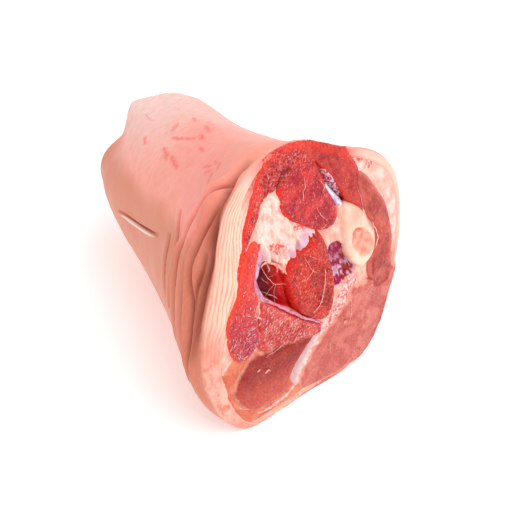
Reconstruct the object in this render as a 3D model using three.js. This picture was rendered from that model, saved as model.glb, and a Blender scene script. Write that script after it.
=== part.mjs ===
// A raw pork hock, lying where its own weight has flattened it: skin, fat, muscle and bone in one solid.
// The shank runs along X, from the narrow sawn end (-X) to the wide cut end (+X). Millimetres, +Z up.
// The origin is the centre of the footprint, at the height of the surface that the hock rests on.
import * as THREE from "three";

const AROUND = 72; // points in every ring
const HOURS = 12; // radii given for each station

// Stations along the shank. centre is [y, z], lean is how far the ring leans forward for each mm of height,
// and clock holds the radii at twelve o'clock, one o'clock and so on, turning from +Z towards +Y.
const STATIONS = [
  { x: -57, centre: [8, 53], lean: 0.12, clock: [33, 32, 30, 29, 30, 32, 33, 34, 32, 31, 29, 31] },
  { x: -46, centre: [7, 53], lean: 0.1, clock: [36, 36, 33, 32, 33, 36, 39, 38, 37, 35, 33, 35] },
  { x: -25, centre: [4, 55], lean: 0.03, clock: [40, 38, 37, 37, 39, 45, 51, 46, 41, 37, 36, 39] },
  { x: 0, centre: [2, 58], lean: -0.06, clock: [44, 41, 40, 41, 47, 56, 61, 54, 45, 39, 38, 41] },
  { x: 28, centre: [1, 62], lean: -0.15, clock: [49, 46, 46, 47, 53, 63, 66, 62, 54, 46, 42, 47] },
  { x: 50, centre: [0, 63], lean: -0.2, clock: [59, 53, 55, 56, 57, 66, 67, 69, 62, 52, 48, 56] },
  { x: 63, centre: [0, 63], lean: -0.22, clock: [66, 60, 63, 61, 60, 66, 67, 76, 69, 55, 52, 63] },
  { x: 70, centre: [0, 63], lean: -0.22, clock: [69, 64, 69, 63, 61, 67, 67, 76, 67, 56, 53, 64] },
];
const RINGS_BETWEEN = 3; // rings added between each station and the next

// How far the skin rolls over at each end, by the clock, the rings of the roll and of the cut inside it,
// and how far the middle of the cut stands in front of the last station.
const WIDE_END = {
  roll: [1.5, 2.5, 3, 3, 3, 2.5, 2.5, 5, 8, 9, 9, 5],
  rollRings: 3,
  cutRings: 15,
  swell: 9,
};
const SHANK_END = {
  roll: [4, 4, 4, 4, 4, 4, 4, 4, 4, 4, 4, 4],
  rollRings: 3,
  cutRings: 5,
  swell: 5,
};

// What rises and sinks on the wide cut. at is [y, z] from the cut's centre and reach the half sizes along
// the mark's own axes, which turn degrees tip from +Y towards +Z.
const CUT_RELIEF = [
  { name: "round upper muscle", at: [-5, 32], reach: [17, 19], turn: 20, rise: 2.5 },
  { name: "middle muscle", at: [6, -6], reach: [15, 24], turn: 10, rise: 2.5 },
  { name: "gap between muscles", at: [-17, -4], reach: [9, 17], turn: 15, rise: -5 },
  { name: "shank bone", at: [30, 14], reach: [10, 15], turn: 0, rise: 2 },
];

/** A cubic through four neighbouring values, at t between the middle two. */
function cubic(before, from, to, after, t) {
  const bend = 2 * before - 5 * from + 4 * to - after;
  const twist = 3 * (from - to) + after - before;
  return from + 0.5 * t * (to - before + t * (bend + t * twist));
}

/** The station between two given ones: index 2.5 is halfway from the third to the fourth. */
function stationAt(index) {
  const last = STATIONS.length - 1;
  const low = Math.min(Math.floor(index), last - 1);
  const near = [low - 1, low, low + 1, low + 2].map((i) => STATIONS[THREE.MathUtils.clamp(i, 0, last)]);
  const mix = (read) => cubic(...near.map(read), index - low);
  return {
    x: mix((s) => s.x),
    lean: mix((s) => s.lean),
    centre: [mix((s) => s.centre[0]), mix((s) => s.centre[1])],
    clock: STATIONS[0].clock.map((_, hour) => mix((s) => s.clock[hour])),
  };
}

/** The radius of a station in the direction of an angle, in radians from twelve o'clock. */
function radiusAt(clock, angle) {
  const hours = (angle / (2 * Math.PI)) * HOURS;
  const low = Math.floor(hours);
  const near = [low - 1, low, low + 1, low + 2].map((h) => clock[(h + HOURS) % HOURS]);
  return cubic(...near, hours - low);
}

/**
 * One ring of a station: what is left of its radius inside inset, times share, moved along X by forward.
 * The table flattens it at z = 0.
 */
function ring(station, { share = 1, inset = () => 0, forward = () => 0 } = {}) {
  return Array.from({ length: AROUND }, (_, i) => {
    const angle = (i / AROUND) * 2 * Math.PI;
    const radius = (radiusAt(station.clock, angle) - inset(angle)) * share;
    const y = radius * Math.sin(angle);
    const z = Math.max(radius * Math.cos(angle), -station.centre[1]);
    return new THREE.Vector3(
      station.x + station.lean * z + forward(angle, y, z),
      station.centre[0] + y,
      station.centre[1] + z,
    );
  });
}

/** Height of the wide cut's relief at a point of the cut. */
function reliefAt(y, z) {
  return CUT_RELIEF.reduce((sum, { at, reach, turn, rise }) => {
    const angle = THREE.MathUtils.degToRad(turn);
    const [dy, dz] = [y - at[0], z - at[1]];
    const across = (dy * Math.cos(angle) + dz * Math.sin(angle)) / reach[0];
    const along = (dz * Math.cos(angle) - dy * Math.sin(angle)) / reach[1];
    return sum + rise * Math.exp(-2 * (across * across + along * along));
  }, 0);
}

/** The rings of one end, from the skin's rolled edge to the middle of the cut. side is +1 at the wide end. */
function endRings(station, { roll, rollRings, cutRings, swell }, side, relief) {
  const rolled = Array.from({ length: rollRings }, (_, i) => {
    const turn = ((i + 1) / rollRings) * (Math.PI / 2);
    return ring(station, {
      inset: (angle) => radiusAt(roll, angle) * (1 - Math.cos(turn)),
      forward: (angle) => side * radiusAt(roll, angle) * Math.sin(turn),
    });
  });
  const cut = Array.from({ length: cutRings }, (_, i) => {
    const share = 1 - (i + 1) / (cutRings + 1);
    const inward = 1 - share * share;
    const reliefShare = Math.min(1, 4 * (1 - share));
    return ring(station, {
      share,
      inset: (angle) => radiusAt(roll, angle),
      forward: (angle, y, z) => {
        const stand = THREE.MathUtils.lerp(radiusAt(roll, angle), swell, inward);
        return side * (stand + reliefShare * relief(y, z));
      },
    });
  });
  return [...rolled, ...cut];
}

/** A closed solid through a list of rings, with a point on the axis closing each end. */
function solidThrough(rings, firstPole, lastPole) {
  const points = [firstPole, ...rings.flat(), lastPole];
  const at = (ringNumber, i) => 1 + ringNumber * AROUND + (i % AROUND);
  const index = [];
  for (let i = 0; i < AROUND; i++) {
    index.push(0, at(0, i), at(0, i + 1));
    for (let r = 0; r + 1 < rings.length; r++) {
      index.push(at(r, i), at(r + 1, i + 1), at(r, i + 1));
      index.push(at(r, i), at(r + 1, i), at(r + 1, i + 1));
    }
    index.push(points.length - 1, at(rings.length - 1, i + 1), at(rings.length - 1, i));
  }
  const geometry = new THREE.BufferGeometry().setFromPoints(points);
  geometry.setIndex(index);
  return geometry;
}

/** The middle of a ring. */
function middle(points) {
  return points.reduce((sum, p) => sum.add(p), new THREE.Vector3()).divideScalar(points.length);
}

const steps = (STATIONS.length - 1) * (RINGS_BETWEEN + 1);
const body = Array.from({ length: steps + 1 }, (_, i) => ring(stationAt(i / (RINGS_BETWEEN + 1))));
const shankRings = endRings(STATIONS[0], SHANK_END, -1, () => 0).reverse();
const wideRings = endRings(STATIONS.at(-1), WIDE_END, 1, reliefAt);
const hockGeometry = solidThrough(
  [...shankRings, ...body, ...wideRings],
  middle(shankRings[0]),
  middle(wideRings.at(-1)),
);

// The footprint's centre goes to the origin.
hockGeometry.computeBoundingBox();
const footprint = hockGeometry.boundingBox.getCenter(new THREE.Vector3()).setZ(0);
hockGeometry.translate(-footprint.x, -footprint.y, 0);
hockGeometry.computeVertexNormals();

const porkHock = new THREE.Mesh(
  hockGeometry,
  new THREE.MeshStandardMaterial({ color: 0xe3a396, roughness: 0.5, metalness: 0 }),
);
porkHock.name = "pork_hock";

const hock = new THREE.Group();
hock.add(porkHock);

export default hock;
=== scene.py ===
import math

import bpy
import numpy as np
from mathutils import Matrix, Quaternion, Vector


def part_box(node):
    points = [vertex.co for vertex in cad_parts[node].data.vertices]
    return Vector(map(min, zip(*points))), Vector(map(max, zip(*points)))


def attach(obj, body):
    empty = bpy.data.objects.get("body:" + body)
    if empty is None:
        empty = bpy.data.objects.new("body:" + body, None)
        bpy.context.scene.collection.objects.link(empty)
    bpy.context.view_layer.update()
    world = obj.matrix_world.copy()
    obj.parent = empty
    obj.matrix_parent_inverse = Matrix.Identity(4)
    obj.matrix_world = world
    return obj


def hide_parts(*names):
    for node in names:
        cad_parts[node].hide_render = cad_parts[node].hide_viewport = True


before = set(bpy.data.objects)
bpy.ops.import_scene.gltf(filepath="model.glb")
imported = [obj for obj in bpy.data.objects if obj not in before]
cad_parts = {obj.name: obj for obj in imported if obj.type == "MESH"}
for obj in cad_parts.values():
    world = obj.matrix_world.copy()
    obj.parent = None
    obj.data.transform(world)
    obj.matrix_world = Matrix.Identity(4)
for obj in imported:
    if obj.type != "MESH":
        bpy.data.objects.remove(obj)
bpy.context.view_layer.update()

mm = 0.001
node = "pork_hock"
lowCorner, highCorner = (np.array(corner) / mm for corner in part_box(node))
footMiddle = (lowCorner + highCorner) / 2

# Stations from the narrow sawn end to the wide cut. Millimetres: how far from the narrow end, the middle's
# y and height, how far the ring leans forward per mm of height, and its radii at twelve, one, two o'clock...
body = {
    "stations": [
        (7.5, 6.3, 53, 0.12, 33, 32, 30, 29, 30, 32, 33, 34, 32, 31, 29, 31),
        (18.5, 5.3, 53, 0.10, 36, 36, 33, 32, 33, 36, 39, 38, 37, 35, 33, 35),
        (39.5, 2.3, 55, 0.03, 40, 38, 37, 37, 39, 45, 51, 46, 41, 37, 36, 39),
        (64.5, 0.3, 58, -0.06, 44, 41, 40, 41, 47, 56, 61, 54, 45, 39, 38, 41),
        (92.5, -0.7, 62, -0.15, 49, 46, 46, 47, 53, 63, 66, 62, 54, 46, 42, 47),
        (114.5, -1.7, 63, -0.20, 59, 53, 55, 56, 57, 66, 67, 69, 62, 52, 48, 56),
        (127.5, -1.7, 63, -0.22, 66, 60, 63, 61, 60, 66, 67, 76, 69, 55, 52, 63),
        (134.5, -1.7, 63, -0.22, 69, 64, 69, 63, 61, 67, 67, 76, 67, 56, 53, 64),
    ],
    "wideRoll": [1.5, 2.5, 3, 3, 3, 2.5, 2.5, 5, 8, 9, 9, 5],  # how far the skin rolls over, by the clock
    "wideStand": 9,  # how far the wide cut's middle stands in front of its station
    "narrowRoll": [4] * 12,
    "narrowStand": 5,  # how far the narrow end's middle stands out
    "fleshReach": [0.8, 1, 0.8, 0.7, 0.9, 1, 0.3, 0, 0, 0, 0, 0.25],  # how much of the roll the flesh hides
    "fleshBulge": [0.5, 0.8, 0, 0, 0, 0, 0, 0, 0, 0, 0, 0],  # and how far it swells out past the skin
    "dent": (5.0, 10.35, 0.55),  # in the narrow end: depth, hour, width in hours
    "neck": (4.0, 0.4, 1.4),  # behind the wide cut's top: the same
    "neckStation": (6.25, 0.75),  # where the neck is deepest, and its width
    "corner": (4.5, 11.45, 0.4),  # pale corner of skin that stands out of the narrow end: the same
}
hours = 12  # the clock that goes round the shank: 12 is up and 3 is the side of the shank bone
stations = np.array(body["stations"], float)
stations[:, 0] += lowCorner[0]
stations[:, 1] += footMiddle[1]
lastStation = len(stations) - 1


def through(values, at):
    # a smooth curve through rows of values, held at its ends
    low = np.clip(np.floor(at).astype(int), 0, len(values) - 2)
    t = (at - low)[:, None]
    a, b, c, d = (values[np.clip(low + k, 0, len(values) - 1)] for k in (-1, 0, 1, 2))
    return b + 0.5 * t * (c - a + t * (2 * a - 5 * b + 4 * c - d + t * (3 * (b - c) + d - a)))


def byClock(radii, clock):
    # each row's own twelve values, read smoothly at that row's hour
    row = np.arange(len(clock))
    low = np.floor(clock).astype(int)
    t = clock - low
    a, b, c, d = (radii[row, (low + k) % hours] for k in (-1, 0, 1, 2))
    return b + 0.5 * t * (c - a + t * (2 * a - 5 * b + 4 * c - d + t * (3 * (b - c) + d - a)))


def rollAt(roll, clock):
    return byClock(np.tile(np.array(roll, float), (len(clock), 1)), clock)


def dentAt(station, clock):
    # the dent in the narrow end's upper left, and the neck where the skin draws in behind the top of the cut
    dent, hour, wide = body["dent"]
    low = dent * np.exp(-(((clock - hour) / wide) ** 2)) * smooth(1.5, 0.1, station)
    neck, hour, wide = body["neck"]
    around = (clock - hour + 6) % hours - 6
    deepest, long = body["neckStation"]
    beforeCut = smooth(lastStation, 6.55, station)  # 0 at the cut, so that the cut's edge keeps its place
    behind = np.exp(-(((station - deepest) / long) ** 2)) * beforeCut
    return low + neck * np.exp(-((around / wide) ** 4)) * behind


def cornerAt(station, clock):
    # how far the pale corner of skin stands out of the narrow end
    out, hour, wide = body["corner"]
    return out * np.exp(-(((clock - hour) / wide) ** 2)) * smooth(0.9, 0.0, station)


def onSkin(station, clock, inset=0.0, share=1.0, forward=0.0):
    # points of the shank's outside, flattened where they would sink into the table
    rings = through(stations, station)
    reach = (byClock(rings[:, 4:], clock) - inset - dentAt(station, clock)) * share
    forward = forward - cornerAt(station, clock) * share
    angle = clock * math.pi / 6
    up = np.maximum(reach * np.cos(angle), -rings[:, 2])
    return np.stack([
        rings[:, 0] + rings[:, 3] * up + forward,
        rings[:, 1] + reach * np.sin(angle),
        rings[:, 2] + up,
    ], 1)


lumpTable = np.random.default_rng(5).random((32, 32, 32))


def lumps(points, size, shift=0.0):
    # smooth random lumps about size across, from -1 to 1. size is one number or three
    at = points / np.array(size, float) + shift * np.array([7.3, 3.1, 5.7])
    low = np.floor(at).astype(int)
    t = at - low
    t = t * t * (3 - 2 * t)
    total = 0
    for corner in np.ndindex(2, 2, 2):
        weight = np.prod(np.where(corner, t, 1 - t), axis=1)
        x, y, z = ((low + corner) % 32).T
        total = total + weight * lumpTable[x, y, z]
    return 2 * total - 1


def layers(points, size, count=3, shift=0.0):
    # lumps with finer ones on them
    return sum(lumps(points, np.array(size, float) / 2**i, shift + i) / 2**i for i in range(count))


def smooth(low, high, value):
    t = np.clip((value - low) / (high - low), 0, 1)
    return t * t * (3 - 2 * t)


def window(value, start, full, fade, end):
    # 1 between full and fade, falling to 0 at start and end
    return smooth(start, full, value) * smooth(end, fade, value)


def fromSix(clock):
    # hours counted from six o'clock, for windows that take in twelve
    return (clock + hours / 2) % hours


def curveThrough(points, each=8, closed=False):
    # given points, joined by a smooth curve
    points = np.array(points, float)
    if closed:
        points = np.concatenate([points[-1:], points, points[:2]])
        at = np.arange(each * (len(points) - 3)) / each + 1
        return through(points, at)
    at = np.linspace(0, len(points) - 1, each * (len(points) - 1) + 1)
    return through(points, at)


def alongCurve(points, curve):
    # distance from each point to a curve, how far along it the nearest spot is, and the side it lies on
    best = np.full(len(points), 1e9)
    along = np.zeros(len(points))
    nearest = np.zeros_like(points)
    for i in range(len(curve) - 1):
        step = curve[i + 1] - curve[i]
        t = np.clip((points - curve[i]) @ step / max(step @ step, 1e-9), 0, 1)
        spot = curve[i] + t[:, None] * step
        away = np.linalg.norm(points - spot, axis=1)
        closer = away < best
        best[closer] = away[closer]
        along[closer] = ((i + t) / (len(curve) - 1))[closer]
        nearest[closer] = spot[closer]
    return best, along, nearest


def nearCurve(points, curve, reach):
    # the same, only for points within reach, with the far ones left at a large distance
    low, high = curve.min(0) - reach, curve.max(0) + reach
    near = np.all((points > low) & (points < high), axis=1)
    away, along = np.full(len(points), 1e3), np.zeros(len(points))
    nearest = np.zeros_like(points)
    if near.any():
        away[near], along[near], nearest[near] = alongCurve(points[near], curve)
    return away, along, nearest


def depthInside(spots, outline):
    # how deep inside a closed outline each (y, z) spot is; outside is negative
    ends = np.roll(outline, -1, axis=0)
    away, _, _ = alongCurve(spots, np.concatenate([outline, outline[:1]]))
    y, z = spots.T
    crossings = np.zeros(len(spots), bool)
    for (ay, az), (by, bz) in zip(outline, ends):
        if az != bz:
            crossings ^= ((az > z) != (bz > z)) & (y < (by - ay) * (z - az) / (bz - az) + ay)
    return np.where(crossings, away, -away)


def makeMesh(name, points, faces, marks=None):
    # a mesh object from points in millimetres, with the marks that its material reads
    mesh = bpy.data.meshes.new(name)
    mesh.from_pydata((np.asarray(points) * mm).tolist(), [], faces)
    for mark, values in (marks or {}).items():
        mesh.attributes.new(mark, "FLOAT", "POINT").data.foreach_set("value", values.astype(np.float32))
    mesh.shade_smooth()
    mesh.validate()
    piece = bpy.data.objects.new(name, mesh)
    bpy.context.scene.collection.objects.link(piece)
    return piece


def tubeFaces(rings, around):
    # quads between closed rings, and a fan to the pole before the first ring and after the last
    at = np.arange(rings * around).reshape(rings, around) + 1
    after = np.roll(at, -1, axis=1)
    quads = np.stack([at[:-1], at[1:], after[1:], after[:-1]], -1).reshape(-1, 4).tolist()
    last = rings * around + 1
    first, final = (list(zip(at[row].tolist(), after[row].tolist())) for row in (0, -1))
    return quads + [[0, a, b] for a, b in first] + [[last, b, a] for a, b in final]


def settle(piece, material):
    # hands a finished piece to the frame
    piece.data.materials.clear()
    piece.data.materials.append(material)
    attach(piece, "root")
    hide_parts(node)
    print(f"{piece.name}: {len(piece.data.polygons)} faces")
    return piece


class Wire:
    # a node's output that adds, multiplies and so on like a number
    def __init__(self, graph, socket):
        self.graph, self.socket = graph, socket

    def maths(self, operation, a, b=0.0):
        return self.graph.add("ShaderNodeMath", {"operation": operation}, {0: a, 1: b})

    def __add__(self, other):
        return self.maths("ADD", self, other)

    def __sub__(self, other):
        return self.maths("SUBTRACT", self, other)

    def __rsub__(self, other):
        return self.maths("SUBTRACT", other, self)

    def __mul__(self, other):
        return self.maths("MULTIPLY", self, other)

    __radd__ = __add__
    __rmul__ = __mul__


class Graph:
    # one material's nodes
    def __init__(self, name):
        self.material = bpy.data.materials.new(name)
        self.material.use_nodes = True
        self.nodes = self.material.node_tree.nodes
        self.nodes.clear()
        self.place = self.add("ShaderNodeTexCoord", output="Object")

    def add(self, kind, settings=None, inputs=None, output=0):
        made = self.nodes.new(kind)
        for key, value in (settings or {}).items():
            if key == "stops":
                ramp = made.color_ramp.elements
                while len(ramp) < len(value):
                    ramp.new(0.5)
                for stop, (at, colour) in zip(ramp, value):
                    stop.position, stop.color = at, colour
            else:
                setattr(made, key, value)
        for key, value in (inputs or {}).items():
            if isinstance(value, Wire):
                self.material.node_tree.links.new(value.socket, made.inputs[key])
            else:
                made.inputs[key].default_value = value
        return Wire(self, made.outputs[output])

    def mark(self, name):
        return self.add("ShaderNodeAttribute", {"attribute_name": name}, output="Fac")

    def stretched(self, long, turn=(0, 0, 0)):
        # the place to read noise at, for lumps this many times longer along each turned axis
        angles = tuple(math.radians(a) for a in turn)
        settings = {"vector_type": "TEXTURE"}
        return self.add("ShaderNodeMapping", settings,
                        {"Vector": self.place, "Rotation": angles, "Scale": long})

    def noise(self, size, detail=3, rough=0.5, place=None, warp=0.0):
        # size is how big the noise's lumps are, in millimetres
        return self.add("ShaderNodeTexNoise", {"noise_dimensions": "3D"}, {
            "Vector": place or self.place, "Scale": 1 / (size * mm), "Detail": detail,
            "Roughness": rough, "Distortion": warp,
        }, "Fac")

    def cells(self, size, place):
        # distance to the edge of the cell, for the outlines of muscle fibres
        return self.add("ShaderNodeTexVoronoi", {"feature": "DISTANCE_TO_EDGE"}, {
            "Vector": place, "Scale": 1 / (size * mm),
        }, "Distance")

    def between(self, value, low, high):
        # 0 where value is below low, 1 above high
        return self.add("ShaderNodeMapRange", {"interpolation_type": "SMOOTHSTEP"}, {
            "Value": value, "From Min": low, "From Max": high,
        })

    def blend(self, share, a, b):
        # colour a where share is 0, b where it is 1
        return self.add("ShaderNodeMix", {"data_type": "RGBA"}, {"Factor": share, 6: a, 7: b}, 2)

    def bump(self, height, depth, normal=None):
        # depth is the bump's height in millimetres
        inputs = {"Height": height, "Distance": depth * mm, "Strength": 1.0}
        if normal:
            inputs["Normal"] = normal
        return self.add("ShaderNodeBump", {}, inputs)

    def finish(self, look, varying):
        # look holds the values that are the same all over, varying the links
        shader = self.nodes.new("ShaderNodeBsdfPrincipled")
        for key, value in look.items():
            shader.inputs[key].default_value = value
        for key, wire in varying.items():
            self.material.node_tree.links.new(wire.socket, shader.inputs[key])
        out = self.nodes.new("ShaderNodeOutputMaterial")
        self.material.node_tree.links.new(shader.outputs[0], out.inputs["Surface"])
        return self.material


def paint(red, green, blue):
    # a colour as a paint chart gives it, 0 to 255
    return (*((c / 255) ** 2.2 for c in (red, green, blue)), 1.0)


wet = {  # damp flesh: light goes a little way in, and the surface shines
    "Subsurface Weight": 0.35,
    "Subsurface Radius": (1.0, 0.25, 0.15),
    "Subsurface Scale": 2.0 * mm,
    "Specular IOR Level": 0.22,
    "Coat Roughness": 0.12,
    "IOR": 1.4,
}

rindSettings = {
    # share of the columns up to each hour: most where it folds
    "columns": ([0, 0.09, 0.34, 1], [0, 1.0, 7.3, 12]),
    "around": 350,
    "bodyRings": 186,
    "rollRings": 44,
    # the hidden floors behind the two cuts: share of the reach, and how deep they lie
    "narrowFloor": (0.3, 0.65, 0.92),
    "narrowSink": 9,
    "wideFloor": ((0.93, 4), (0.84, 10), (0.6, 13), (0.3, 14)),
    "lipGrooves": 7,
    "lipGrooveDepth": 0.13,
    "lipStart": (0.16, 0.4),  # share of the way across the roll where skin gives way to cut fat
    "broadLip": (2.5, 5),  # a lip rolled over this far is thin, and this far is broad
    # creases in the skin: points (station, hour), depth, width, and how far the skin beside them puffs up
    "folds": [
        ([(6.4, 11.36), (6.0, 11.2), (5.55, 11.0), (5.35, 10.8), (5.0, 10.5), (4.8, 10.25), (4.75, 10),
          (4.68, 9.7), (4.78, 9.35), (4.85, 9), (4.95, 8.5), (5.1, 8)], 5.0, 1.2, 2.2),
        ([(6.3, 10.9), (6.1, 10.6), (5.83, 10.3), (5.57, 9.9), (5.67, 9.65), (5.93, 9.3), (6.05, 8.8),
          (6.0, 8.2)], 5.0, 1.3, 2.0),
        ([(5.9, 11.6), (6.35, 11.25), (6.7, 10.9), (6.78, 10.4), (6.75, 9.9), (6.74, 9.4), (6.66, 8.9),
          (6.5, 8.5)], 4.2, 3.4, 0.4),
        ([(4.05, 10.3), (4.15, 10.1), (4.3, 9.85), (4.48, 9.55), (4.55, 9.35), (4.5, 9.0), (4.5, 8.6)], 2.6,
         0.9, 1.1),
        ([(5.25, 10.3), (5.15, 10.0), (5.15, 9.7), (5.25, 9.3), (5.35, 8.9), (5.5, 8.4)], 2.2, 1.0, 0.8),
        ([(6.3, 10.2), (6.2, 9.8), (6.25, 9.4), (6.35, 9.0)], 1.4, 1.0, 0.5),
        ([(3.95, 9.7), (4.05, 9.4), (4.15, 9.0), (4.25, 8.6)], 1.3, 0.9, 0.6),
    ],
    "slit": ([(1.85, 8.78), (2.2, 8.93), (2.55, 9.02), (2.9, 9.13), (3.28, 9.3), (3.62, 9.45)], 2.8, 0.75),
    "nick": ([(0.75, 11.4), (0.95, 11.37), (1.2, 11.36), (1.38, 11.41)], 0.3, 0.35),
    # blood under the skin: short strokes from (station, hour) to (station, hour), and their width
    "bloodMarks": [
        ((2.2, 11.7), (2.3, 11.55), 1.1), ((2.27, 0.13), (2.5, 0.06), 0.8), ((2.85, 0.1), (3.12, 0.0), 0.9),
        ((3.1, 11.8), (3.25, 11.75), 1.2), ((1.75, 10.97), (1.9, 10.88), 0.9),
        ((2.55, 11.4), (3.05, 11.66), 0.9), ((2.6, 11.1), (2.85, 10.98), 1.3),
        ((2.95, 11.05), (3.3, 10.95), 1.2), ((0.85, 10.25), (0.9, 10.08), 0.8),
        ((4.1, 11.23), (4.3, 11.3), 0.8), ((4.3, 11.16), (4.5, 11.22), 0.9),
        ((4.58, 11.42), (4.75, 11.3), 0.9), ((4.65, 11.2), (4.8, 11.05), 0.8),
        ((4.3, 11.42), (4.45, 11.38), 0.7), ((2.7, 0.28), (2.9, 0.24), 0.7),
        ((3.4, 11.55), (3.6, 11.5), 0.8),
    ],
    # hours between which a zone starts, is full, fades and ends; those with a note count from six o'clock
    "zones": {
        "shade": (6, 8, 9.2, 11), "valley": (7.2, 8.2, 10.4, 11.6), "lowLip": (6.2, 7.2, 8.5, 9.4),
        "meatRim": (3.2, 3.8, 5.8, 6.3),
        "topRim": (5.2, 5.9, 7.0, 7.5), "pale": (3.8, 5.6, 6.4, 8.0),  # from six
        "knots": (7.9, 0.65),  # middle and width of the knotted fat
        "tie": (8.62, 0.3, 0.07),  # a furrow across the lip: hour, slant and width
    },
    # the skin's lumps, then its fine wrinkles: height and size
    "unevenness": ((0.45, 26), (0.12, (1.6, 9, 9))),
    "blushes": [((4.1, 10.8), (4.5, 10.5), 5), ((4.6, 11.3), (5.0, 10.9), 4), ((3.0, 11.9), (3.4, 11.5), 8),
                ((4.2, 11.4), (5.0, 10.8), 9)],
    "colours": {
        "peach": (248, 160, 140), "pink": (255, 170, 158), "pale": (244, 218, 212), "undersideShade": (214, 136, 110),
        "valley": (206, 118, 94), "grain": (226, 142, 122), "blush": (250, 132, 120), "blood": (246, 88, 82),
        "crease": (138, 62, 44), "slitLip": (255, 226, 214), "slit": (160, 84, 60), "nick": (226, 110, 90),
        "lipOuter": (246, 186, 166), "lipInner": (255, 212, 192), "lipLines": (242, 158, 130),
        "thinLip": (248, 192, 178), "knots": (240, 186, 168), "knotsRed": (218, 110, 92),
        "lowLip": (228, 126, 108), "lipEdge": (248, 190, 172), "topRim": (236, 84, 70),
        "meatRim": (232, 142, 128), "narrowRim": (252, 226, 208),
    },
}


def skinCurve(path, each=6):
    marks = curveThrough(path, each)
    return onSkin(marks[:, 0], marks[:, 1] % hours)


def rindRings():
    # every ring of the rind: station, end, roll inset and forward (as shares of the roll), share, sink and
    # how far across the lip
    quarter = math.pi / 2
    rows = []
    for share in rindSettings["narrowFloor"]:
        rows.append((0, "narrow", 1, 1, share, rindSettings["narrowSink"], 0))
    for turn in np.linspace(quarter, 0, 14):
        rows.append((0, "narrow", 1 - math.cos(turn), math.sin(turn), 1, 0, 0))
    bodyShare = np.linspace(0, 1, rindSettings["bodyRings"] + 1)[1:-1]
    for share in bodyShare**0.85:  # closer together where the skin folds
        rows.append((share * lastStation, "wide", 0, 0, 1, 0, 0))
    for across in np.linspace(0, 1, rindSettings["rollRings"]):
        turn = across * quarter
        rows.append((lastStation, "wide", 1 - math.cos(turn), math.sin(turn), 1, 0, across))
    for share, sink in rindSettings["wideFloor"]:
        rows.append((lastStation, "wide", 1, 1, share, sink, 1))
    return rows


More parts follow.
